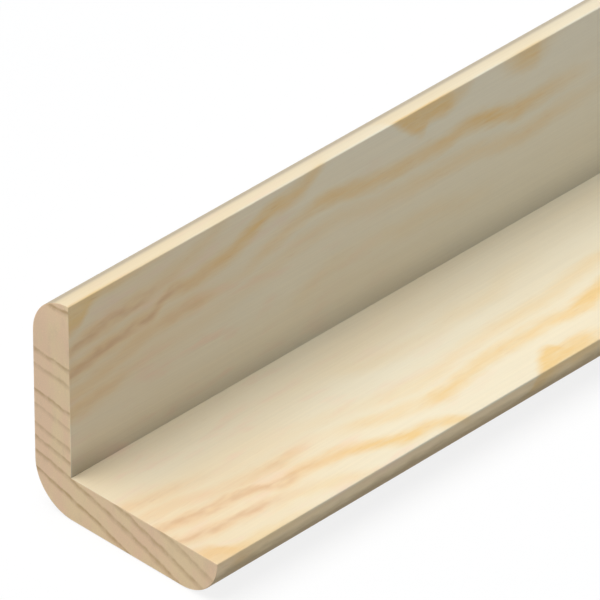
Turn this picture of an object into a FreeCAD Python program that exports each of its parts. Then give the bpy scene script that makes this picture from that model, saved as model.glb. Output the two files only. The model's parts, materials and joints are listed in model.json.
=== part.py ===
"""Corner guard moulding: one length of planed softwood run to an L section and sawn square at both ends.

The flat leg lies on the floor and the upright leg stands at its +Y edge. The length runs along X.
The origin is the centre of the underside's bounding box, so the moulding stands on Z = 0.
Sizes are in millimetres.
"""

import FreeCAD, Part

import math
import os

import Sketcher

MOULDING = "corner_guard_moulding"
START, END, CENTRE = 1, 2, 3
ORIGIN_POINT = (-1, 1)

# Driving dimensions: name, value, what it sets.
SIZES = (
    ("stock_length", 2400.0, "length of the moulding, as sold"),
    ("leg_across", 30.0, "outside width of the flat leg, from the upright's outer face to the tip"),
    ("leg_up", 30.0, "outside height of the upright leg, from the underside to the tip"),
    ("leg_thickness", 6.0, "thickness of both legs"),
    ("nose_radius", 6.0, "round on the outside corner between the legs"),
    ("arris_radius", 0.15, "sanded ease on the two inner tip edges"),
)


def make_sheet(doc):
    """The spreadsheet that holds every driving dimension under its own alias."""
    sheet = doc.addObject("Spreadsheet::Sheet", "Sizes")
    for row, (name, value, note) in enumerate(SIZES, start=1):
        sheet.set(f"A{row}", name)
        sheet.set(f"B{row}", str(value))
        sheet.set(f"C{row}", note)
        sheet.setAlias(f"B{row}", name)
    doc.recompute()
    return sheet


def plane_of(body, role):
    """One of the body's own origin planes."""
    return next(feature for feature in body.Origin.OriginFeatures if feature.Role == role)


def draw_outline(sketch, sheet):
    """Lays the section's lines and arcs near their places, once round from the underside.

    Sketch X is the model's Y and sketch Y is its Z. Returns the index of each stretch by name.
    """
    outer = sheet.leg_across / 2
    tip = -outer
    top = sheet.leg_up
    wall = sheet.leg_thickness
    nose = sheet.nose_radius
    ease = sheet.arris_radius
    inner = outer - wall

    def line(x0, y0, x1, y1):
        return sketch.addGeometry(Part.LineSegment(FreeCAD.Vector(x0, y0, 0), FreeCAD.Vector(x1, y1, 0)))

    def quarter(x, y, radius, quadrant):
        circle = Part.Circle(FreeCAD.Vector(x, y, 0), FreeCAD.Vector(0, 0, 1), radius)
        return sketch.addGeometry(Part.ArcOfCircle(circle, quadrant * math.pi / 2, (quadrant + 1) * math.pi / 2))

    return {
        "underside": line(tip + wall, 0, outer - nose, 0),
        "nose": quarter(outer - nose, nose, nose, 3),
        "outer_face": line(outer, nose, outer, top - wall),
        "upright_tip": quarter(inner, top - wall, wall, 0),
        "upright_arris": quarter(inner + ease, top - ease, ease, 1),
        "upright_inner": line(inner, top - ease, inner, wall),
        "flat_inner": line(inner, wall, tip + ease, wall),
        "flat_arris": quarter(tip + ease, wall - ease, ease, 1),
        "flat_tip": quarter(tip + wall, wall, wall, 2),
    }


def join_outline(sketch, stretch):
    """Closes the outline: every round runs smoothly into its neighbours, and the inner corner is sharp."""
    names = list(stretch)
    for name, following in zip(names, names[1:] + names[:1]):
        if (name, following) == ("upright_inner", "flat_inner"):
            sketch.addConstraint(Sketcher.Constraint("Coincident", stretch[name], END, stretch[following], START))
        else:
            sketch.addConstraint(Sketcher.Constraint("Tangent", stretch[name], END, stretch[following], START))
    for name in ("flat_inner", "underside"):
        sketch.addConstraint(Sketcher.Constraint("Horizontal", stretch[name]))
    for name in ("outer_face", "upright_inner"):
        sketch.addConstraint(Sketcher.Constraint("Vertical", stretch[name]))


def size_outline(sketch, stretch):
    """Ties the outline to the sheet: each dimension is a named constraint with its own expression."""

    def dimension(name, constraint, expression):
        index = sketch.addConstraint(constraint)
        sketch.renameConstraint(index, name)
        sketch.setExpression(f"Constraints.{name}", expression)

    def measured(kind, first, second):
        """A distance between two points of the sketch, at the value that it has as drawn."""
        start, end = (sketch.getPoint(*point) for point in (first, second))
        return Sketcher.Constraint(kind, *first, *second, end.x - start.x if kind == "DistanceX" else end.y - start.y)

    def radius(name):
        return Sketcher.Constraint("Radius", stretch[name], sketch.Geometry[stretch[name]].Radius)

    sketch.addConstraint(Sketcher.Constraint("Horizontal", *ORIGIN_POINT, stretch["underside"], START))
    half_across = measured("DistanceX", ORIGIN_POINT, (stretch["outer_face"], START))
    dimension("half_across", half_across, "Sizes.leg_across / 2")
    # Each tip is a quarter round over the leg's whole thickness, so its centre lies that far inside the tip.
    across = measured("DistanceX", (stretch["flat_tip"], CENTRE), (stretch["outer_face"], START))
    dimension("across_to_tip_centre", across, "Sizes.leg_across - Sizes.leg_thickness")
    height = measured("DistanceY", ORIGIN_POINT, (stretch["upright_tip"], CENTRE))
    dimension("height_to_tip_centre", height, "Sizes.leg_up - Sizes.leg_thickness")
    flat_wall = measured("DistanceY", ORIGIN_POINT, (stretch["flat_inner"], START))
    dimension("flat_wall", flat_wall, "Sizes.leg_thickness")
    upright_wall = measured("DistanceX", (stretch["upright_inner"], START), (stretch["outer_face"], START))
    dimension("upright_wall", upright_wall, "Sizes.leg_thickness")
    dimension("nose", radius("nose"), "Sizes.nose_radius")
    for leg in ("upright", "flat"):
        dimension(f"{leg}_arris", radius(f"{leg}_arris"), "Sizes.arris_radius")
        dimension(f"{leg}_tip", radius(f"{leg}_tip"), "Sizes.leg_thickness")


def make_moulding(doc, sheet):
    """The section, drawn across the length, and its pad, half to each side of the origin."""
    body = doc.addObject("PartDesign::Body", "Moulding")
    body.Label = MOULDING
    section = body.newObject("Sketcher::SketchObject", "Section")
    section.AttachmentSupport = [(plane_of(body, "YZ_Plane"), "")]
    section.MapMode = "FlatFace"
    stretch = draw_outline(section, sheet)
    join_outline(section, stretch)
    size_outline(section, stretch)
    doc.recompute()

    run = body.newObject("PartDesign::Pad", "Run")
    run.Profile = section
    run.SideType = "Symmetric"
    run.setExpression("Length", "Sizes.stock_length")
    body.Tip = run
    doc.recompute()
    return body


def check(doc, body):
    """Stops the build if any object failed or the moulding isn't one valid solid."""
    failed = [item.Name for item in doc.Objects if {"Invalid", "Error"} & set(item.State)]
    if failed:
        raise RuntimeError(f"these objects failed to compute: {failed}")
    if body.Shape.isNull() or not body.Shape.isValid() or len(body.Shape.Solids) != 1:
        raise RuntimeError(f"{body.Label} isn't one valid solid")


def main():
    doc = FreeCAD.newDocument("corner_guard")
    sheet = make_sheet(doc)
    moulding = make_moulding(doc, sheet)
    check(doc, moulding)
    os.makedirs("parts", exist_ok=True)
    moulding.Shape.exportStep(f"parts/{moulding.Label}.step")
    box = moulding.Shape.BoundBox
    print(f"{moulding.Label}: {box.XLength:.1f} x {box.YLength:.1f} x {box.ZLength:.1f} mm,"
          f" volume {moulding.Shape.Volume:.0f} mm3")


main()
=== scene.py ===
# %% [markdown]
# # A pine corner guard
#
# The object is one length of planed pine, run to an L section and sawn square at both ends.
# It is fixed over the outside corner of a wall, so its inner faces are flat and its outer corner is rounded.
# The measured model is loaded first and never changed: the legs and the length below are read from it.

# %% Load the measured moulding
import json
import math
from collections import namedtuple

import bmesh
import bpy
from mathutils import Matrix, Vector


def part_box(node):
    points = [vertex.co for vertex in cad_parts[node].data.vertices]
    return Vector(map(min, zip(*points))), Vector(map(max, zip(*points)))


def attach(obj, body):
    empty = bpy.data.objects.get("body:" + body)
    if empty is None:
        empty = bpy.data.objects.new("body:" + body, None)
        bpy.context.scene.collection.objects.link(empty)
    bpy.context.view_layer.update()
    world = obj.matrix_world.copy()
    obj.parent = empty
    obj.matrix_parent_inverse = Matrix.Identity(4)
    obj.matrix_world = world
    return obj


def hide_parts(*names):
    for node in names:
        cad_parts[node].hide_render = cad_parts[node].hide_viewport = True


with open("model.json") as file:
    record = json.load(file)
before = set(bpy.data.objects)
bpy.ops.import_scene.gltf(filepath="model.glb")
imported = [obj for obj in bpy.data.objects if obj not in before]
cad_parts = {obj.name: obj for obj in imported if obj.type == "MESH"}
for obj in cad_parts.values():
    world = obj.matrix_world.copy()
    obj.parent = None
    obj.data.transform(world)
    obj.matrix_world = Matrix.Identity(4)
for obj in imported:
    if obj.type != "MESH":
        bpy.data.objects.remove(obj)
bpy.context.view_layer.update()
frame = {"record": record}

MOULDING = "corner_guard_moulding"
low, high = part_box(MOULDING)
print("moulding box:", [round(side, 4) for side in high - low], "m")

# %% [markdown]
# ## The section's sizes
#
# The box gives the length and the width of the two legs, but not how thick they are.
# The faces that lie against the wall are mounts in the record, and a leg is as thick as its face lies deep.
# The rounds are the only sizes left to write down. All of them are in metres.

# %% Read the legs and name the rounds
MM = 0.001
mount_at = {mount["name"]: Vector(mount["pos_m"]) for mount in frame["record"]["mounts"]}
inner_y = mount_at["wall_face_upright_leg"].y
inner_z = mount_at["wall_face_flat_leg"].z
thickness = inner_z - low.z
length = high.x - low.x

NOSE_ROUND = 6.0 * MM
INNER_ARRIS = 0.15 * MM
print(f"legs {thickness / MM:.1f} mm thick, nose rounded to {NOSE_ROUND / MM:.1f} mm")

# %% [markdown]
# ## The section, as the cutter leaves it
#
# A real moulding is planed by a cutter that has the section's outline, so the outline comes first.
# Six vertices make a sharp L. A vertex bevel then rounds each corner to its own radius, and leaves the inner
# corner sharp. A list of arc points would give the same outline, but the bevel keeps a radius as one number.
# A tip is rounded over the leg's whole thickness, so its round ends on the next corner and two points merge.

# %% Draw the sharp L
outer_corner = (high.y, low.z)
inner_corner = (inner_y, inner_z)
tip_corners = ((high.y, high.z), (low.y, low.z))
arris_corners = ((inner_y, high.z), (low.y, inner_z))

run = bmesh.new()
outline = (outer_corner, tip_corners[0], arris_corners[0], inner_corner, arris_corners[1], tip_corners[1])
run.faces.new([run.verts.new((low.x, y, z)) for y, z in outline])
print("sharp section:", len(run.verts), "corners")

# %% Round its corners
ROUND_STEPS = 16
ARRIS_STEPS = 3
SAME_POINT = 0.001 * MM


def vertex_at(corner):
    """The section's vertex nearest to a corner of the sharp L."""
    return min(run.verts, key=lambda vertex: (vertex.co.yz - Vector(corner)).length)


def round_corner(corner, radius, steps):
    """Rounds one corner of the flat section."""
    bmesh.ops.bevel(
        run, geom=[vertex_at(corner)], offset=radius, offset_type="OFFSET",
        segments=steps, profile=0.5, affect="VERTICES", material=-1,
    )


round_corner(outer_corner, NOSE_ROUND, ROUND_STEPS)
for corner in tip_corners:
    round_corner(corner, thickness, ROUND_STEPS)
bmesh.ops.remove_doubles(run, verts=run.verts, dist=SAME_POINT)
for corner in arris_corners:
    round_corner(corner, INNER_ARRIS, ARRIS_STEPS)
section = run.faces[:][0]
print("section:", len(section.verts), "points,", round(section.calc_area() / MM**2, 1), "mm2")

# %% [markdown]
# ## A coordinate that follows the surface
#
# Grain runs along the wood and wraps round its edges, so the finish needs to know how far round the section a
# point is. That could be worked out from the position in every node, but the rounds make it awkward.
# So each vertex keeps it as an attribute: the way along the outline from the inner corner, alike on each leg.
# It is written on the flat section, because every later operator copies or blends it by itself.

# %% Measure the way round the outline
across_layer = run.verts.layers.float.new("across")
outline_points = [loop.vert for loop in section.loops]
first = outline_points.index(vertex_at(inner_corner))
outline_points = outline_points[first:] + outline_points[:first]
girth = section.calc_perimeter()
walked = 0.0
for vertex, following in zip(outline_points, outline_points[1:] + outline_points[:1]):
    vertex[across_layer] = min(walked, girth - walked)
    walked += (following.co - vertex.co).length
furthest = max(vertex[across_layer] for vertex in outline_points)
print(f"girth {girth / MM:.1f} mm, furthest point {furthest / MM:.1f} mm round")

# %% [markdown]
# ## The length and its sawn ends
#
# Extruding the section gives the whole length in one step. A saw leaves a fine broken edge round each end,
# and that edge catches the light, so the end's outline is bevelled by a tenth of a millimetre.
# Cuts across the length divide the long faces into bays, which keeps their shading and their map even.

# %% Extrude the length
grown = bmesh.ops.extrude_face_region(run, geom=[section])["geom"]
far_end = [item for item in grown if isinstance(item, bmesh.types.BMVert)]
bmesh.ops.translate(run, verts=far_end, vec=(length, 0, 0))
bmesh.ops.recalc_face_normals(run, faces=run.faces)
print("run:", len(run.faces), "faces")

# %% Break the sawn edges
END_ARRIS = 0.12 * MM
END_ARRIS_STEPS = 2
FACES_ENDWAYS = 0.9


def is_end(face):
    """Whether a face is one of the two sawn ends."""
    return abs(face.normal.x) > FACES_ENDWAYS


end_edges = [edge for edge in run.edges if any(is_end(face) for face in edge.link_faces)]
bmesh.ops.bevel(
    run, geom=end_edges, offset=END_ARRIS, offset_type="OFFSET",
    segments=END_ARRIS_STEPS, profile=0.5, affect="EDGES", material=-1,
)
print("broken edges:", len(end_edges))

# %% Cut the length into bays
BAY = 120 * MM
CUBIC_CM = 1e-6
for bay in range(1, round(length / BAY)):
    everything = run.verts[:] + run.edges[:] + run.faces[:]
    bmesh.ops.bisect_plane(run, geom=everything, plane_co=(low.x + bay * BAY, 0, 0), plane_no=(1, 0, 0))
open_edges = [edge for edge in run.edges if not edge.is_manifold]
volume = round(run.calc_volume() / CUBIC_CM, 1)
print("run:", len(run.faces), "faces,", len(open_edges), "open edges,", volume, "cm3")

# %% Tell planed faces from sawn ones
PLANED, SAWN = 0, 1
for face in run.faces:
    face.smooth = True
    face.material_index = SAWN if is_end(face) else PLANED
print("sawn faces:", sum(face.material_index == SAWN for face in run.faces))

# %% [markdown]
# ## A flat map of the surface
#
# A library part is often shown in programs that know nothing of nodes, so its finish has to fit on a picture.
# One strip of 2.4 m would leave most of a square picture empty and the grain coarse.
# Cut into five rows, laid one above the other, the same faces fill it. The two ends go beside them, enlarged.

# %% Give every corner its place on the map
ROWS = 5
ROW_LENGTH = length / ROWS
MAP_SIZE = 575 * MM
END_PLACE = (0.93, 0.12)
END_STEP = 0.2
END_ENLARGED = 2.4
middle = (low + high) / 2


def place_on_end(point, far):
    """Where a point of a sawn end lies on the map."""
    spot = (point.co - middle).yz * END_ENLARGED / MAP_SIZE
    return Vector(END_PLACE) + spot + Vector((0, far * END_STEP))


def place_on_row(point, row, side):
    """Where a point of a planed face lies on the map: along its row, and round the section to one side."""
    along_row = point.co.x - low.x - row * ROW_LENGTH
    round_section = girth / 2 + side * point[across_layer]
    return along_row / MAP_SIZE, row / ROWS + round_section / MAP_SIZE


# %% Lay the faces on the map
flat_map = run.loops.layers.uv.new("OFBake")
for face in run.faces:
    centre = face.calc_center_bounds()
    far = centre.x > middle.x
    row = int((centre.x - low.x) / ROW_LENGTH)
    side = 1 if centre.y + centre.z > inner_y + inner_z else -1
    for loop in face.loops:
        sawn_face = face.material_index == SAWN
        spot = place_on_end(loop.vert, far) if sawn_face else place_on_row(loop.vert, row, side)
        loop[flat_map].uv = spot
print("map:", ROWS, "rows,", round(MAP_SIZE / MM), "mm to a side")

# %% [markdown]
# ## The moulding as an object
#
# So far there is only a mesh in the making. As an object it gets a name, a body to ride on and a finish.
# Faces that meet at more than forty degrees keep a sharp edge between them, and the rounds stay smooth.
# Normals weighted by area keep the wide faces flat right up to the fine edges beside them.

# %% Make the moulding's object
SHARP_FROM = math.radians(40)
mesh = bpy.data.meshes.new("pine_moulding")
run.to_mesh(mesh)
run.free()
mesh.set_sharp_from_angle(angle=SHARP_FROM)
moulding = bpy.data.objects.new("pine_moulding", mesh)
bpy.context.scene.collection.objects.link(moulding)
even_normals = moulding.modifiers.new("even_normals", "WEIGHTED_NORMAL")
even_normals.keep_sharp = True
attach(moulding, "root")
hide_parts(MOULDING)
print(moulding.name, "has", len(mesh.polygons), "faces")

# %% [markdown]
# ## Tools for the finishes
#
# Wood has its pattern all through, and a web of small nodes can say that with arithmetic.
# The web could be drawn in the node editor, but it is hard to read back from there.
# These helpers add a node or two each, so that a line of the script reads like a sum.

# %% Add and wire nodes
def wire(tree, node, sockets):
    """Sets a node's sockets, or links them where the value is another node's socket."""
    for socket, value in dict(sockets).items():
        if isinstance(value, bpy.types.NodeSocket):
            tree.links.new(value, node.inputs[socket])
        else:
            node.inputs[socket].default_value = value


def put(tree, kind, sockets=(), **settings):
    """Adds a node with these properties and sockets."""
    node = tree.nodes.new(kind)
    for name, value in settings.items():
        setattr(node, name, value)
    wire(tree, node, sockets)
    return node


def new_finish(name):
    """A material, its node tree and its principled shader."""
    material = bpy.data.materials.new(name)
    material.use_nodes = True
    return material, material.node_tree, material.node_tree.nodes["Principled BSDF"]


# %% Sums with nodes
def work_out(tree, operation, *terms):
    """One step of arithmetic."""
    return put(tree, "ShaderNodeMath", enumerate(terms), operation=operation).outputs["Value"]


def joined(tree, operation, first, *others):
    """Joins any number of values with one operation."""
    for other in others:
        first = work_out(tree, operation, first, other)
    return first


def times(tree, *values):
    """Values multiplied together."""
    return joined(tree, "MULTIPLY", *values)


def plus(tree, *values):
    """Values added up."""
    return joined(tree, "ADD", *values)


def most(tree, *values):
    """The greatest of some values."""
    return joined(tree, "MAXIMUM", *values)


# %% Sums with one value
def scaled(tree, value, factor, start=0.0):
    """A value times a factor, on top of a start."""
    return work_out(tree, "MULTIPLY_ADD", value, factor, start)


def swing(tree, share, width):
    """Turns a share between 0 and 1 into a swing of this width about 0."""
    return scaled(tree, share, width, -width / 2)


def rest_of(tree, share):
    """What a share leaves of 1."""
    return work_out(tree, "SUBTRACT", 1.0, share)


def fade(tree, value, start, end):
    """Rises smoothly from 0 at the start to 1 at the end. The end may be below the start."""
    limits = {"Value": value, "From Min": start, "From Max": end}
    return put(tree, "ShaderNodeMapRange", limits, interpolation_type="SMOOTHSTEP").outputs["Result"]


# %% Colours, patches and curves
MIX_UNDER, MIX_OVER, MIX_COLOUR = 6, 7, 2


def blend(tree, share, under, over, kind="MIX"):
    """Lays one colour over another."""
    sockets = {"Factor": share, MIX_UNDER: under, MIX_OVER: over}
    return put(tree, "ShaderNodeMix", sockets, data_type="RGBA", blend_type=kind).outputs[MIX_COLOUR]


def toned(tree, colour, tone):
    """A colour made lighter or darker by a tone, where 1 leaves it alone."""
    grey = put(tree, "ShaderNodeCombineColor", {"Red": tone, "Green": tone, "Blue": tone}).outputs["Color"]
    return blend(tree, 1.0, colour, grey, "MULTIPLY")


def patches(tree, place, sizes_mm, detail=2.0, roughness=0.5):
    """Soft random patches between 0 and 1, of a given size along X, Y and Z."""
    scale = [1 / (size * MM) for size in sizes_mm]
    stretched = put(tree, "ShaderNodeMapping", {"Vector": place, "Scale": scale}).outputs["Vector"]
    sockets = {"Vector": stretched, "Scale": 1.0, "Detail": detail, "Roughness": roughness}
    return put(tree, "ShaderNodeTexNoise", sockets).outputs["Fac"]


def curve(tree, value, points, reach, height=1.0):
    """A curve drawn through a few points, for values from 0 to the reach."""
    node = put(tree, "ShaderNodeFloatCurve", {"Value": work_out(tree, "DIVIDE", value, reach)})
    line = node.mapping.curves[0]
    while len(line.points) < len(points):
        line.points.new(0.5, 0.5)
    for point, (x, y) in zip(line.points, points):
        point.location = (x / reach, y / height)
        point.handle_type = "AUTO_CLAMPED"
    node.mapping.update()
    return times(tree, node.outputs["Value"], height)


# %% [markdown]
# ## The colours of planed pine
#
# Fresh pine is cream where a ring grew in spring and gold where the sapwood has warmed.
# Late wood, cut at a slant, shows as amber streaks, rosy near the saw, with a brown line at the core of some.
# The light below is set so that a colour renders about as it is written, so these read like a real board's.

# %% Name the colours
CREAM = (0.905, 0.83, 0.64, 1)
GOLD = (0.905, 0.76, 0.52, 1)
PEACH = (0.93, 0.71, 0.53, 1)
AMBER = (0.895, 0.64, 0.30, 1)
ROSE = (0.87, 0.59, 0.37, 1)
BROWN = (0.72, 0.45, 0.26, 1)
# The next two colours are the painted shade on the rounds of the tips.
TIP_SHADE_BROWN = (0.40, 0.295, 0.15, 1)
TIP_SHADE_GREY = (0.40, 0.33, 0.23, 1)
print("palest and darkest pine:", CREAM[:3], TIP_SHADE_BROWN[:3])

# %% [markdown]
# ## Where a point lies on the wood
#
# A joiner would say where a mark is by how far it lies from the end and how far from the corner.
# The finish does the same, in millimetres. The object's own coordinates give the distance along, and the
# attribute gives the distance round, so the pattern stays on the wood however it is turned.

# %% Measure along and across
planed, pine, planed_shader = new_finish("planed_pine")
place = put(pine, "ShaderNodeTexCoord").outputs["Object"]
axes = put(pine, "ShaderNodeSeparateXYZ", {"Vector": place}).outputs
along = scaled(pine, axes["X"], 1 / MM, length / 2 / MM)
way_round = put(pine, "ShaderNodeAttribute", attribute_name="across").outputs["Fac"]
across = scaled(pine, way_round, 1 / MM)
upright = work_out(pine, "GREATER_THAN", plus(pine, axes["Y"], axes["Z"]), inner_y + inner_z)
flat = rest_of(pine, upright)
print("along runs from 0 to", round(length / MM), "mm, across from 0 to", round(furthest / MM, 1), "mm")

# %% Mark out the zones
# Each pair says where a zone starts to show and where it shows in full, in millimetres along or across.
FURTHER_ALONG = (84, 112)
BY_SAW = (9, 0)
BY_CORNER = (9, 4)
ON_TIP = (24.0, 24.4)
INNER_SIDE = (34, 28)
OUTER_SIDE = (28, 36)
further_along = fade(pine, along, *FURTHER_ALONG)
by_saw = fade(pine, along, *BY_SAW)
by_corner = fade(pine, across, *BY_CORNER)
on_tip = fade(pine, across, *ON_TIP)
inner_side = fade(pine, across, *INNER_SIDE)
outer_side = fade(pine, across, *OUTER_SIDE)
print("zones: the near stretch ends by", FURTHER_ALONG[1], "mm, the tips start at", ON_TIP[0], "mm across")

# %% [markdown]
# ## Streaks of the near stretch
#
# Where the plane cuts a ring at a flat angle, its late wood comes out as a broad streak that rises softly on
# one side and falls off on the other. Noise puts streaks anywhere, and a picture of wood would repeat.
# So each streak by the near end is drawn one by one: how far across it runs at some distances along, how
# strong its amber is there, and how strong the brown line at its core. The two legs share their streaks.

# %% Streaks that leave the leg at its tip
Streak = namedtuple("Streak", "path amber line rise fall")
main_streak = Streak(
    path=((0, 14.4), (6, 15.4), (13, 16.3), (17, 18.0), (19.5, 17.6), (22, 18.0), (26, 18.7),
          (30, 20.3), (33, 21.5), (36, 21.8), (39, 22.9), (42, 25), (50, 28)),
    amber=((0, 0.7), (14, 0.62), (20, 0.72), (26, 0.85), (33, 0.92), (36, 0.72), (39, 0.7), (42, 0.3)),
    line=((0, 0.5), (5, 0.62), (12, 0.6), (17, 0.5), (20, 0.25), (28, 0)),
    rise=2.0, fall=2.3,
)
short_streak = Streak(
    path=((0, 17.4), (3, 18.2), (10, 19.2), (14, 19.6), (18, 20.8), (22, 22.5), (30, 26)),
    amber=((0, 0.6), (6, 0.65), (10, 0.55), (18, 0.35), (24, 0.3), (28, 0)),
    line=((0, 0.45), (3, 0.6), (11, 0.55), (15, 0.1), (19, 0)),
    rise=2.0, fall=2.3,
)
print("streaks that leave at", main_streak.path[-1][0], "and", short_streak.path[-1][0], "mm along")

# %% Streaks that run on along the leg
long_streak = Streak(
    path=((0, 11.3), (6, 12.3), (10, 13.6), (18, 14.6), (24, 14.2), (30, 15.5), (34, 16.9), (38, 18.0),
          (42, 18.6), (46, 17.9), (55, 17.0), (60, 17.0), (66, 17.6), (70, 16.9), (75, 16.0), (82, 16.4),
          (100, 15)),
    amber=((0, 0.5), (10, 0.45), (20, 0.55), (26, 0.15), (34, 0.45), (38, 0.42), (42, 0.75), (55, 0.65),
           (65, 0.75), (70, 0.95), (76, 0.7)),
    line=((0, 0), (14, 0.1), (20, 0.25), (24, 0)),
    rise=2.0, fall=2.2,
)
faint_streak = Streak(
    path=((0, 8.8), (6, 9.6), (14, 11.0), (22, 11.3), (30, 12.5), (38, 14.5), (44, 15.0), (50, 14.0),
          (60, 13.5), (66, 13.4), (70, 12.5), (75, 12.0), (82, 12.9), (100, 13)),
    amber=((0, 0.6), (6, 0.5), (11, 0.2), (22, 0.12), (30, 0.15), (42, 0.28), (52, 0.25), (60, 0.4),
           (68, 0.35), (75, 0.45), (82, 0.3)),
    line=((0, 0.1), (6, 0.2), (9, 0.1), (12, 0)),
    rise=2.0, fall=2.2,
)
print("long streaks start", long_streak.path[0][1], "and", faint_streak.path[0][1], "mm from the corner")

# %% Arches at the tip and a breath of amber by the corner
NO_LINE = ((0, 0), (50, 0))
tip_arches = Streak(
    path=((0, 20.6), (1.8, 21.4), (3.0, 22.6), (4.5, 23.6), (12, 24), (18, 25.2), (24, 28), (48, 28),
          (53.3, 24.4), (55.1, 22.7), (56.4, 21.7), (57.7, 21.3), (59.4, 22.4), (61, 22.3), (64.5, 22.8),
          (67, 25), (69, 28)),
    amber=((0, 0.95), (3, 0.9), (6, 0.62), (12, 0.45), (24, 0.3), (50, 0.9), (57, 0.95), (61, 0.9),
           (63.5, 0.5), (66, 0.25)),
    line=NO_LINE,
    rise=1.7, fall=8.0,
)
soft_arch = Streak(
    path=((0, 26), (70, 24), (72, 23.6), (74, 22.9), (76, 22.6), (78, 23.0), (80, 24), (100, 28)),
    amber=((0, 0), (69, 0), (72, 0.35), (74, 0.58), (76, 0.78), (78, 0.42), (80, 0.2), (83, 0)),
    line=NO_LINE,
    rise=3.0, fall=8.0,
)
corner_streak = Streak(
    path=((0, 3), (30, 6), (38, 7.5), (42, 8.6), (50, 9.0), (55, 8.3), (60, 8.4), (66, 7.0), (100, 8)),
    amber=((0, 0), (34, 0), (40, 0.2), (50, 0.15), (56, 0.22), (64, 0.15), (72, 0)),
    line=NO_LINE,
    rise=2.4, fall=2.4,
)
streaks = (main_streak, short_streak, long_streak, faint_streak, tip_arches, soft_arch, corner_streak)
print(len(streaks), "streaks drawn by hand")

# %% Make the streaks waver
# A drawn curve is too smooth for wood, so the distance across sways a little, slowly and then quickly.
SWAY_PATCH, SWAY = (12, 4, 4), 1.0
JITTER_PATCH, JITTER = (3, 1, 1), 1.4
sway = swing(pine, patches(pine, place, SWAY_PATCH), SWAY)
jitter = swing(pine, patches(pine, place, JITTER_PATCH, detail=3), JITTER)
grain_across = plus(pine, across, sway, jitter)
print("streaks waver by up to", (SWAY + JITTER) / 2, "mm")

# %% Lay the streaks on the wood
STREAK_REACH = 100.0
LEG_SPAN = 30.0
CORE_EDGE = 0.1
LINE_HALF = 1.1
LINE_PATCH, LINE_SHOWN = (2.5, 1.2, 1.2), (0.15, 0.7)


def lay_streak(streak):
    """The shares of amber and of brown line that one streak gives to the wood."""
    core = curve(pine, along, streak.path, STREAK_REACH, LEG_SPAN)
    beyond = work_out(pine, "SUBTRACT", grain_across, core)
    rise = fade(pine, beyond, -streak.rise, CORE_EDGE)
    fall = fade(pine, beyond, streak.fall, CORE_EDGE)
    thin = fade(pine, work_out(pine, "ABSOLUTE", beyond), LINE_HALF, 0.0)
    amber = times(pine, rise, fall, curve(pine, along, streak.amber, STREAK_REACH))
    line = times(pine, thin, curve(pine, along, streak.line, STREAK_REACH))
    return amber, line


ambers, lines = zip(*[lay_streak(streak) for streak in streaks])
breaks = fade(pine, patches(pine, place, LINE_PATCH, detail=1), *LINE_SHOWN)
near_amber = most(pine, *ambers)
near_line = times(pine, most(pine, *lines), breaks)
print("planed pine:", len(pine.nodes), "nodes so far")

# %% [markdown]
# ## Grain of the rest of the length
#
# Further along, and on the outside, the streaks can be any that pine would have.
# Rings in a board are like height lines on a map, so a very long, smooth noise serves as the hills and every
# whole step of height gives a streak. Stripes bent by noise are quicker, but never close into long arches.

# %% Draw rings as height lines
HILL_PATCH, HILL_ROUGHNESS = (190, 30, 30), 0.22
HILL_STEPS = 11.0
STEP_ACROSS = 6.5
STEP_RISE, STEP_FALL = (0.0, 0.3), (0.7, 0.3)
STRENGTH_PATCH, STRENGTH_SHOWN = (60, 9, 9), (0.2, 0.65)
hills = patches(pine, place, HILL_PATCH, detail=3, roughness=HILL_ROUGHNESS)
height = scaled(pine, hills, HILL_STEPS, work_out(pine, "DIVIDE", grain_across, STEP_ACROSS))
step = work_out(pine, "FRACT", height)
strength = fade(pine, patches(pine, place, STRENGTH_PATCH, detail=1), *STRENGTH_SHOWN)
rings = times(pine, fade(pine, step, *STEP_RISE), fade(pine, step, *STEP_FALL), strength)
print("rings about", STEP_ACROSS, "mm apart across the face")

# %% Join the two kinds of grain
CLEAR_OF_CORNER = (5, 12)
UPRIGHT_TIP_LOSS = -0.8
FLAT_TIP_AMBER_AND_SHADE = 0.34
general_zone = times(pine, most(pine, further_along, outer_side), fade(pine, across, *CLEAR_OF_CORNER))
tip_hold = scaled(pine, on_tip, scaled(pine, upright, UPRIGHT_TIP_LOSS), 1.0)
near_zone = times(pine, tip_hold, inner_side, rest_of(pine, further_along))
flat_tip = times(pine, on_tip, flat, inner_side)
near_share = times(pine, near_amber, near_zone)
general_share = times(pine, rings, general_zone)
# The flat leg's tip gets extra amber all along: partly the wood's warmer colour, partly painted shade where
# it faces away from the softbox.
amber_share = most(pine, near_share, general_share, scaled(pine, flat_tip, FLAT_TIP_AMBER_AND_SHADE))
line_share = times(pine, near_line, near_zone)
print("grain joins between", *FURTHER_ALONG, "mm along")

# %% [markdown]
# ## The ground colour
#
# Between the streaks the wood isn't one colour: it goes from cream to gold over a few centimetres.
# One noise would do for a plain board. Here, as on the real moulding, the wood by the saw and on the tips is
# warmer and the middle of the near stretch is paler, so shares of gold are added up zone by zone.

# %% Gold in patches and along the length
GOLD_PATCH, GOLD_SPREAD, GOLD_START = (30, 5, 5), 0.9, -0.2
GOLD_ALONG = ((0, 0.6), (10, 0.55), (20, 0.4), (32, 0.12), (60, 0.05), (84, 0.1), (100, 0.2))
GOLD_ACROSS = (5, 10)
patchy_gold = scaled(pine, patches(pine, place, GOLD_PATCH, detail=3), GOLD_SPREAD, GOLD_START)
gold_along = times(pine, curve(pine, along, GOLD_ALONG, STREAK_REACH), fade(pine, across, *GOLD_ACROSS))
print("gold at the saw:", GOLD_ALONG[0][1], "and at its palest:", min(share for _, share in GOLD_ALONG))

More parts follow.
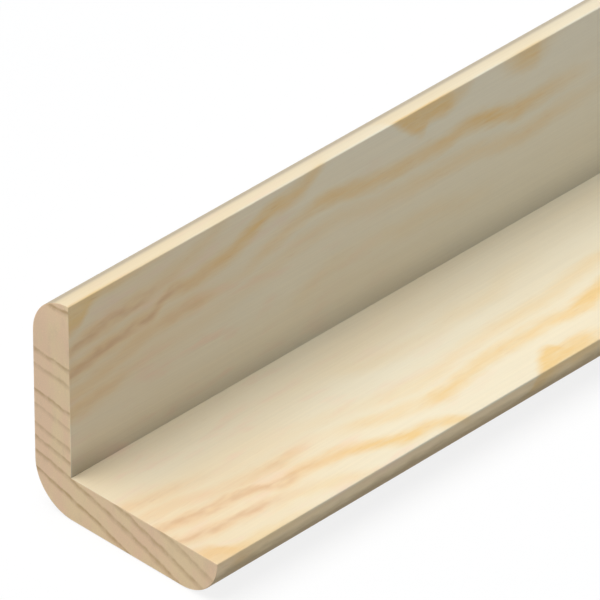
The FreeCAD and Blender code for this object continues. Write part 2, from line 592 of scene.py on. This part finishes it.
# %% Gold by the corner, the saw and the tip
CORNER_GOLD, CORNER_LOSS, CORNER_PALER = 0.25, -0.2, (40, 80)
SAW_GOLD = 0.4
TIP_GOLD, UPRIGHT_TIP_PALER = 1.6, -1.0
corner_level = scaled(pine, fade(pine, along, *CORNER_PALER), CORNER_LOSS, CORNER_GOLD)
corner_gold = times(pine, by_corner, corner_level)
saw_gold = scaled(pine, by_saw, SAW_GOLD)
tip_gold = times(pine, on_tip, scaled(pine, upright, UPRIGHT_TIP_PALER, TIP_GOLD))
print("extra gold: corner", CORNER_GOLD, "saw", SAW_GOLD, "tip", TIP_GOLD)

# %% Gold of the upright leg
UPRIGHT_START = -0.2
UPRIGHT_NEAR, NEAR_ALONG, NEAR_ACROSS = 0.45, (50, 0), (9, 16)
UPRIGHT_FAR_LOSS, FAR_ALONG = -0.2, (45, 80)
near_upright = times(pine, fade(pine, along, *NEAR_ALONG), fade(pine, across, *NEAR_ACROSS))
upright_level = scaled(pine, near_upright, UPRIGHT_NEAR, UPRIGHT_START)
upright_level = scaled(pine, fade(pine, along, *FAR_ALONG), UPRIGHT_FAR_LOSS, upright_level)
upright_gold = times(pine, upright, upright_level)
gold_share = plus(pine, patchy_gold, gold_along, corner_gold, saw_gold, tip_gold, upright_gold)
colour = blend(pine, gold_share, CREAM, GOLD)
print("ground colour:", len(pine.nodes), "nodes so far")

# %% [markdown]
# ## Streaks, lines and marks over the ground
#
# On the board the darker wood lies in the lighter, not beside it. One ramp from pale to dark would blur them,
# so each mark is laid over the last like a thin stain: a peach blush, the amber, the brown lines, and then
# painted shade on the rounds of the tips. Fine noise breaks up the layers, or they would look painted on.

# %% Peach blush
BLUSH_PATCH, BLUSH_SHOWN = (7, 2.2, 2.2), (0.5, 0.75)
BLUSH_ALONG = (70, 10)
BLUSH_LEVEL = 0.65
blush = fade(pine, patches(pine, place, BLUSH_PATCH), *BLUSH_SHOWN)
blush_share = times(pine, blush, fade(pine, along, *BLUSH_ALONG), BLUSH_LEVEL)
colour = blend(pine, blush_share, colour, PEACH)
print("blush fades out by", BLUSH_ALONG[0], "mm along")

# %% Amber streaks with their brown lines
AMBER_PATCH, AMBER_SPREAD, AMBER_START = (5, 0.9, 0.9), 1.3, 0.35
ROSY_ALONG, ROSY_ACROSS = (36, 10), (21.5, 20.5)
ROSY_LEVEL, UPRIGHT_ROSY_LOSS = 0.6, -0.4
ROSY_BY_SAW = 0.4
uneven = patches(pine, place, AMBER_PATCH, detail=4, roughness=0.6)
streak_share = times(pine, amber_share, scaled(pine, uneven, AMBER_SPREAD, AMBER_START))
rosy_level = scaled(pine, upright, UPRIGHT_ROSY_LOSS, ROSY_LEVEL)
rosy = times(pine, fade(pine, along, *ROSY_ALONG), fade(pine, across, *ROSY_ACROSS), rosy_level)
rosy = most(pine, rosy, times(pine, by_saw, ROSY_BY_SAW, flat))
colour = blend(pine, streak_share, colour, blend(pine, rosy, AMBER, ROSE))
colour = blend(pine, line_share, colour, BROWN)
print("rosy amber within", ROSY_ALONG[0], "mm of the saw")

# %% Painted shade on the rounds of the tips
# Painted shade, in a late-wood brown: on the flat leg it is a broad, wavering band. On the upright it is a
# thin, straight one with a soft side.
FLAT_RISE, FLAT_FALL, FLAT_LEVEL = (24.6, 27.0), (31, 28.5), 0.9
UPRIGHT_RISE, UPRIGHT_FALL = (25.7, 27.0), (30.5, 28.2)
UPRIGHT_LEVEL, UPRIGHT_LATER_LOSS = 0.62, -0.4
SOFT_RISE, SOFT_LEVEL = (24.2, 26.3), 0.16
flat_tip_shade = times(pine, fade(pine, grain_across, *FLAT_RISE), fade(pine, grain_across, *FLAT_FALL))
flat_tip_shade = times(pine, flat_tip_shade, FLAT_LEVEL, flat)
thin_level = scaled(pine, further_along, UPRIGHT_LATER_LOSS, UPRIGHT_LEVEL)
thin_tip_shade = times(pine, fade(pine, across, *UPRIGHT_RISE), thin_level)
soft_and_thin = scaled(pine, fade(pine, across, *SOFT_RISE), SOFT_LEVEL, thin_tip_shade)
upright_tip_shade = times(pine, soft_and_thin, fade(pine, across, *UPRIGHT_FALL), upright)
tip_shade_share = plus(pine, flat_tip_shade, upright_tip_shade)
colour = blend(pine, tip_shade_share, colour, blend(pine, upright, TIP_SHADE_BROWN, TIP_SHADE_GREY))
# How far across the painted shade on each tip reaches.
print("late wood ends", FLAT_FALL[0], "and", UPRIGHT_FALL[0], "mm across")

# %% Resin canals
# Pine has fine resin canals, which show as short brown scratches, mostly in the amber.
CANAL_PATCH, CANAL_SHOWN = (2.5, 0.3, 0.3), (0.62, 0.78)
CANALS_IN_AMBER, CANALS_ELSEWHERE = 0.3, 0.06
canals = fade(pine, patches(pine, place, CANAL_PATCH, detail=1), *CANAL_SHOWN)
canal_share = times(pine, canals, scaled(pine, amber_share, CANALS_IN_AMBER, CANALS_ELSEWHERE))
colour = blend(pine, canal_share, colour, BROWN)
print("canals about", CANAL_PATCH[0], "mm long")

# %% [markdown]
# ## The planed surface
#
# A plane leaves pine smooth but not polished: fine fibres run along it and scatter the shine.
# They could be modelled as grooves, which no picture would show. One long, thin noise is enough, and it does
# three jobs: it varies the tone, the roughness and a very shallow bump. The upright gets painted shade by its
# inner corner.

# %% Fibres and painted shade in the corner
FIBRE_PATCH, FIBRE_SPREAD, FIBRE_START = (18, 0.28, 0.28), 0.10, 0.95
CORNER_SHADE_ACROSS = (4.5, 0.0)
CORNER_SHADE_BY_SAW, CORNER_SHADE_LEVEL = 2.4, 1.2
CORNER_SHADE_DEPTH = -0.1
fibres = patches(pine, place, FIBRE_PATCH, detail=3, roughness=0.6)
fibre_tone = scaled(pine, fibres, FIBRE_SPREAD, FIBRE_START)
# Painted shade: the upright is darkened near the inner corner, most of all by the saw.
painted_corner_shade = times(pine, upright, fade(pine, across, *CORNER_SHADE_ACROSS), scaled(pine, by_saw, CORNER_SHADE_BY_SAW, CORNER_SHADE_LEVEL))
colour = toned(pine, colour, scaled(pine, painted_corner_shade, CORNER_SHADE_DEPTH, fibre_tone))
print("fibres", FIBRE_PATCH[1], "mm wide")

# %% Finish the planed pine
PLANED_SPREAD, PLANED_ROUGHNESS = 0.2, 0.5
PLANED_SHINE = 0.3
FIBRE_DEPTH, FIBRE_BUMP = 0.05 * MM, 0.25
bump = put(pine, "ShaderNodeBump", {"Strength": FIBRE_BUMP, "Distance": FIBRE_DEPTH, "Height": fibres})
wire(pine, planed_shader, {
    "Base Color": colour,
    "Roughness": scaled(pine, fibres, PLANED_SPREAD, PLANED_ROUGHNESS),
    "Specular IOR Level": PLANED_SHINE,
    "Normal": bump.outputs["Normal"],
})
mesh.materials.append(planed)
print("planed pine:", len(pine.nodes), "nodes")

# %% [markdown]
# ## Sawn ends
#
# On the end the same rings are cut straight across. Each darkens slowly over a summer and stops at winter.
# Circles round the tree's heart would be the true form, but over so small a piece they are nearly straight.
# So a ring is a line that leans down from the upright's middle, and leans less the higher it lies.

# %% Measure height on the end
UPRIGHT_MIDDLE = 12.0
RING_LEAN, LEAN_LOSS = 0.318, -0.0109
WOBBLE_PATCH, WOBBLE = (4, 3, 3), 0.9
sawn, ends, sawn_shader = new_finish("sawn_pine")
end_place = put(ends, "ShaderNodeTexCoord").outputs["Object"]
end_axes = put(ends, "ShaderNodeSeparateXYZ", {"Vector": end_place}).outputs
end_height = scaled(ends, end_axes["Z"], 1 / MM)
from_upright = scaled(ends, end_axes["Y"], -1 / MM, UPRIGHT_MIDDLE)
lean = scaled(ends, end_height, LEAN_LOSS, RING_LEAN)
wobble = swing(ends, patches(ends, end_place, WOBBLE_PATCH, detail=3, roughness=0.6), WOBBLE)
ring_height = plus(ends, times(ends, from_upright, lean), end_height, wobble)
print("rings lean by", RING_LEAN, "at the underside")

# %% Draw the rings
# Height in millimetres at the upright's middle, and strength.
END_RINGS = (
    (4.1, 0.95), (6.7, 0.8), (8.7, 0.7), (10.6, 0.55), (13.3, 0.4),
    (15.5, 0.8), (19.2, 0.55), (21.4, 0.8), (29.1, 0.9),
)
RING_SPAN = 31.0
SUMMER, WINTER = 0.7, 0.25
ring_ramp = put(ends, "ShaderNodeValToRGB", {"Fac": work_out(ends, "DIVIDE", ring_height, RING_SPAN)})
stops = ring_ramp.color_ramp.elements
stops[1].color = (0, 0, 0, 1)
for ring, strongest in END_RINGS:
    for at, level in ((ring - SUMMER, 0.0), (ring, strongest), (ring + WINTER, 0.0)):
        stops.new(at / RING_SPAN).color = (level, level, level, 1)
print(len(END_RINGS), "rings on each end")

# %% [markdown]
# ## Colour of the sawn ends
#
# End grain drinks in light between its open pores, so it is duller than the faces, tan with a pink cast to
# the outside. Flat colour with lines on it would look like a drawing, so tan, stain and rings are all patchy.
# Pores are too small to model: a very fine noise gives their specks and a rough, shallow bump.

# %% Tan, pink and stain
END_TAN = (0.93, 0.715, 0.44, 1)
END_PINK = (0.93, 0.665, 0.44, 1)
END_SHADE = (0.76, 0.57, 0.36, 1)
PINK_PATCH, PINK_SHOWN = (8, 3, 7), (0.4, 0.7)
PINK_OUTSIDE = 0.15
STAIN_PATCH, STAIN_SHOWN = (5, 1.8, 3.5), (0.5, 0.8)
STAIN_LEVEL = 0.4
outside = scaled(ends, fade(ends, end_axes["Y"], inner_y, high.y), PINK_OUTSIDE)
pink = plus(ends, patches(ends, end_place, PINK_PATCH, detail=3), outside)
end_colour = blend(ends, fade(ends, pink, *PINK_SHOWN), END_TAN, END_PINK)
stain = fade(ends, patches(ends, end_place, STAIN_PATCH, detail=3, roughness=0.6), *STAIN_SHOWN)
end_colour = blend(ends, times(ends, stain, STAIN_LEVEL), end_colour, END_SHADE)
print("end grain:", END_TAN[:3], "to", END_PINK[:3])

# %% Rings over the tan
RING_BROWN = (0.56, 0.36, 0.17, 1)
BROKEN_PATCH, BROKEN_SHOWN = (2, 1.1, 1.1), (0.25, 0.65)
RING_SPREAD, RING_START = 0.55, 0.45
broken = fade(ends, patches(ends, end_place, BROKEN_PATCH, detail=3), *BROKEN_SHOWN)
ring_share = times(ends, ring_ramp.outputs["Color"], scaled(ends, broken, RING_SPREAD, RING_START))
end_colour = blend(ends, ring_share, end_colour, RING_BROWN)
print("rings keep at least", RING_START, "of their strength")

# %% Pores, flecks and a painted highlight
PORE_PATCH, PORE_SPREAD, PORE_START = (0.3, 0.16, 0.16), 0.24, 0.87
FLECK_PATCH, FLECK_SHOWN = (0.8, 0.22, 0.45), (0.62, 0.8)
FLECK_LIFT = 0.12
HIGHLIGHT_TOP, HIGHLIGHT_LIFT = (24, 28.5), 0.06
pores = patches(ends, end_place, PORE_PATCH, detail=3, roughness=0.7)
flecks = fade(ends, patches(ends, end_place, FLECK_PATCH), *FLECK_SHOWN)
pore_and_highlight_tone = scaled(ends, pores, PORE_SPREAD, PORE_START)
# Painted highlight: the end is made lighter towards its top.
pore_and_highlight_tone = scaled(ends, fade(ends, end_height, *HIGHLIGHT_TOP), HIGHLIGHT_LIFT, pore_and_highlight_tone)
end_colour = toned(ends, end_colour, scaled(ends, flecks, FLECK_LIFT, pore_and_highlight_tone))
print("pores about", PORE_PATCH[1], "mm wide")

# %% Finish the sawn pine
SAWN_SPREAD, SAWN_ROUGHNESS = 0.2, 0.72
SAWN_SHINE = 0.25
PORE_DEPTH, PORE_BUMP = 0.06 * MM, 0.4
bump = put(ends, "ShaderNodeBump", {"Strength": PORE_BUMP, "Distance": PORE_DEPTH, "Height": pores})
wire(ends, sawn_shader, {
    "Base Color": end_colour,
    "Roughness": scaled(ends, pores, SAWN_SPREAD, SAWN_ROUGHNESS),
    "Specular IOR Level": SAWN_SHINE,
    "Normal": bump.outputs["Normal"],
})
mesh.materials.append(sawn)
print("sawn pine:", len(ends.nodes), "nodes")

# %% [markdown]
# ## The floor
#
# A shop picture shows its piece on white, yet a piece with no shadow seems to float.
# The floor is a plain pale sheet. To the camera it glows almost white, and only a little of it takes shadow.
# To light on its way to the wood it is an ordinary pale floor, which throws a little back on the undersides.

# %% Lay the floor
FLOOR_HALF = 30.0
FLOOR_GAP = 0.1 * MM
floor_mesh = bpy.data.meshes.new("floor")
sheet = bmesh.new()
bmesh.ops.create_grid(sheet, x_segments=1, y_segments=1, size=FLOOR_HALF)
bmesh.ops.translate(sheet, verts=sheet.verts, vec=(0, 0, low.z - FLOOR_GAP))
sheet.to_mesh(floor_mesh)
sheet.free()
floor = bpy.data.objects.new("floor", floor_mesh)
bpy.context.scene.collection.objects.link(floor)
print("floor:", 2 * FLOOR_HALF, "m to a side")

# %% Paint the floor
FLOOR_PAINT = (0.7, 0.7, 0.7, 1)
SHADOW_DEPTH = 0.16


def seen_directly(tree):
    """1 for what the camera sees, straight or in a reflection, and 0 for light on its way to a surface."""
    path = put(tree, "ShaderNodeLightPath").outputs
    return most(tree, path["Is Camera Ray"], path["Is Glossy Ray"], path["Is Transmission Ray"])


paint = bpy.data.materials.new("floor_paint")
paint.use_nodes = True
coat = paint.node_tree
coat.nodes.clear()
bounce = put(coat, "ShaderNodeBsdfDiffuse", {"Color": FLOOR_PAINT})
shade = put(coat, "ShaderNodeBsdfDiffuse", {"Color": (SHADOW_DEPTH, SHADOW_DEPTH, SHADOW_DEPTH, 1)})
white = put(coat, "ShaderNodeEmission", {"Strength": 1 - SHADOW_DEPTH})
pale = put(coat, "ShaderNodeAddShader", {0: shade.outputs[0], 1: white.outputs[0]})
looks = {0: seen_directly(coat), 1: bounce.outputs[0], 2: pale.outputs[0]}
floor_look = put(coat, "ShaderNodeMixShader", looks)
put(coat, "ShaderNodeOutputMaterial", {"Surface": floor_look.outputs[0]})
floor_mesh.materials.append(paint)
print("floor keeps a shadow of up to", SHADOW_DEPTH)

# %% [markdown]
# ## The light
#
# The wood is lit as in a studio, by one very large softbox almost overhead, a little to the back and left.
# An area lamp would fall off along so long a piece. A sun with a wide angle is as soft and lights all of it.
# A faint cool sky fills in, so the upright, turned away from the softbox, is greyer than the flat leg.

# %% Hang the softbox
SOFTBOX_LEAN_X = math.radians(14)
SOFTBOX_LEAN_Y = math.radians(10.5)
SOFTBOX_ANGLE = math.radians(56)
SOFTBOX_LEVEL = 0.885
SOFTBOX_COLOUR = (1.0, 0.985, 0.955)
softbox_light = bpy.data.lights.new("softbox", "SUN")
softbox_light.energy = SOFTBOX_LEVEL * math.pi
softbox_light.angle = SOFTBOX_ANGLE
softbox_light.color = SOFTBOX_COLOUR
softbox = bpy.data.objects.new("softbox", softbox_light)
bpy.context.scene.collection.objects.link(softbox)
towards_softbox = Vector((-math.tan(SOFTBOX_LEAN_X), math.tan(SOFTBOX_LEAN_Y), 1)).normalized()
softbox.rotation_mode = "QUATERNION"
softbox.rotation_quaternion = towards_softbox.to_track_quat("Z", "Y")
print("softbox towards", [round(part, 2) for part in towards_softbox])

# %% Fill in with a faint sky
SKY_LEVEL = 0.15
SKY_COLOUR = (0.80, 0.98, 1.3, 1)
WHITE = (1, 1, 1, 1)
world = bpy.data.worlds.new("studio")
bpy.context.scene.world = world
world.use_nodes = True
sky = world.node_tree
sky.nodes.clear()
backdrop = put(sky, "ShaderNodeBackground", {"Color": WHITE, "Strength": 1.0})
fill = put(sky, "ShaderNodeBackground", {"Color": SKY_COLOUR, "Strength": SKY_LEVEL})
looks = {0: seen_directly(sky), 1: fill.outputs[0], 2: backdrop.outputs[0]}
sky_look = put(sky, "ShaderNodeMixShader", looks)
put(sky, "ShaderNodeOutputWorld", {"Surface": sky_look.outputs[0]})
print("sky strength:", SKY_LEVEL, "beside the softbox's", SOFTBOX_LEVEL)

# %% [markdown]
# ## The camera
#
# The picture looks down the length from the near end, with a long lens, so both inner faces and the end show.
# Two angles and a distance say where the camera stands. Aiming it at an empty would take trial and error,
# so its place is worked out from one point instead: the pixel on which the near inner corner falls.

# %% Turn the camera
VIEW_AZIMUTH = math.radians(-45.029)
VIEW_ELEVATION = math.radians(34.759)
VIEW_ROLL = math.radians(-0.123)
back = Vector((
    math.sin(VIEW_AZIMUTH) * math.cos(VIEW_ELEVATION),
    -math.cos(VIEW_AZIMUTH) * math.cos(VIEW_ELEVATION),
    math.sin(VIEW_ELEVATION),
))
level_right = Vector((math.cos(VIEW_AZIMUTH), math.sin(VIEW_AZIMUTH), 0))
level_up = back.cross(level_right)
right = math.cos(VIEW_ROLL) * level_right + math.sin(VIEW_ROLL) * level_up
up = back.cross(right)
turn = Matrix((right, up, back)).transposed().to_4x4()
print("camera looks along", [round(-part, 2) for part in back])

# %% Place the camera
IMAGE_PX = 600
CORNER_PX = (71.012, 478.372)
FOCAL_PX = 11030.3
VIEW_DISTANCE = 1.2728
SENSOR_MM = 36
NEAREST, FURTHEST = 0.05, 200
near_corner = Vector((low.x, inner_y, inner_z))
aside = (CORNER_PX[0] - IMAGE_PX / 2) / FOCAL_PX * VIEW_DISTANCE
below = (CORNER_PX[1] - IMAGE_PX / 2) / FOCAL_PX * VIEW_DISTANCE
eye = near_corner - aside * right + below * up + VIEW_DISTANCE * back
lens = bpy.data.cameras.new("camera")
lens.sensor_width = SENSOR_MM
lens.lens = FOCAL_PX / IMAGE_PX * SENSOR_MM
lens.clip_start = NEAREST
lens.clip_end = FURTHEST
camera = bpy.data.objects.new("camera", lens)
camera.matrix_world = Matrix.Translation(eye) @ turn
bpy.context.scene.collection.objects.link(camera)
bpy.context.scene.camera = camera
bpy.context.scene.view_settings.view_transform = "Standard"
print(f"lens {lens.lens:.0f} mm, {VIEW_DISTANCE} m from the near corner")
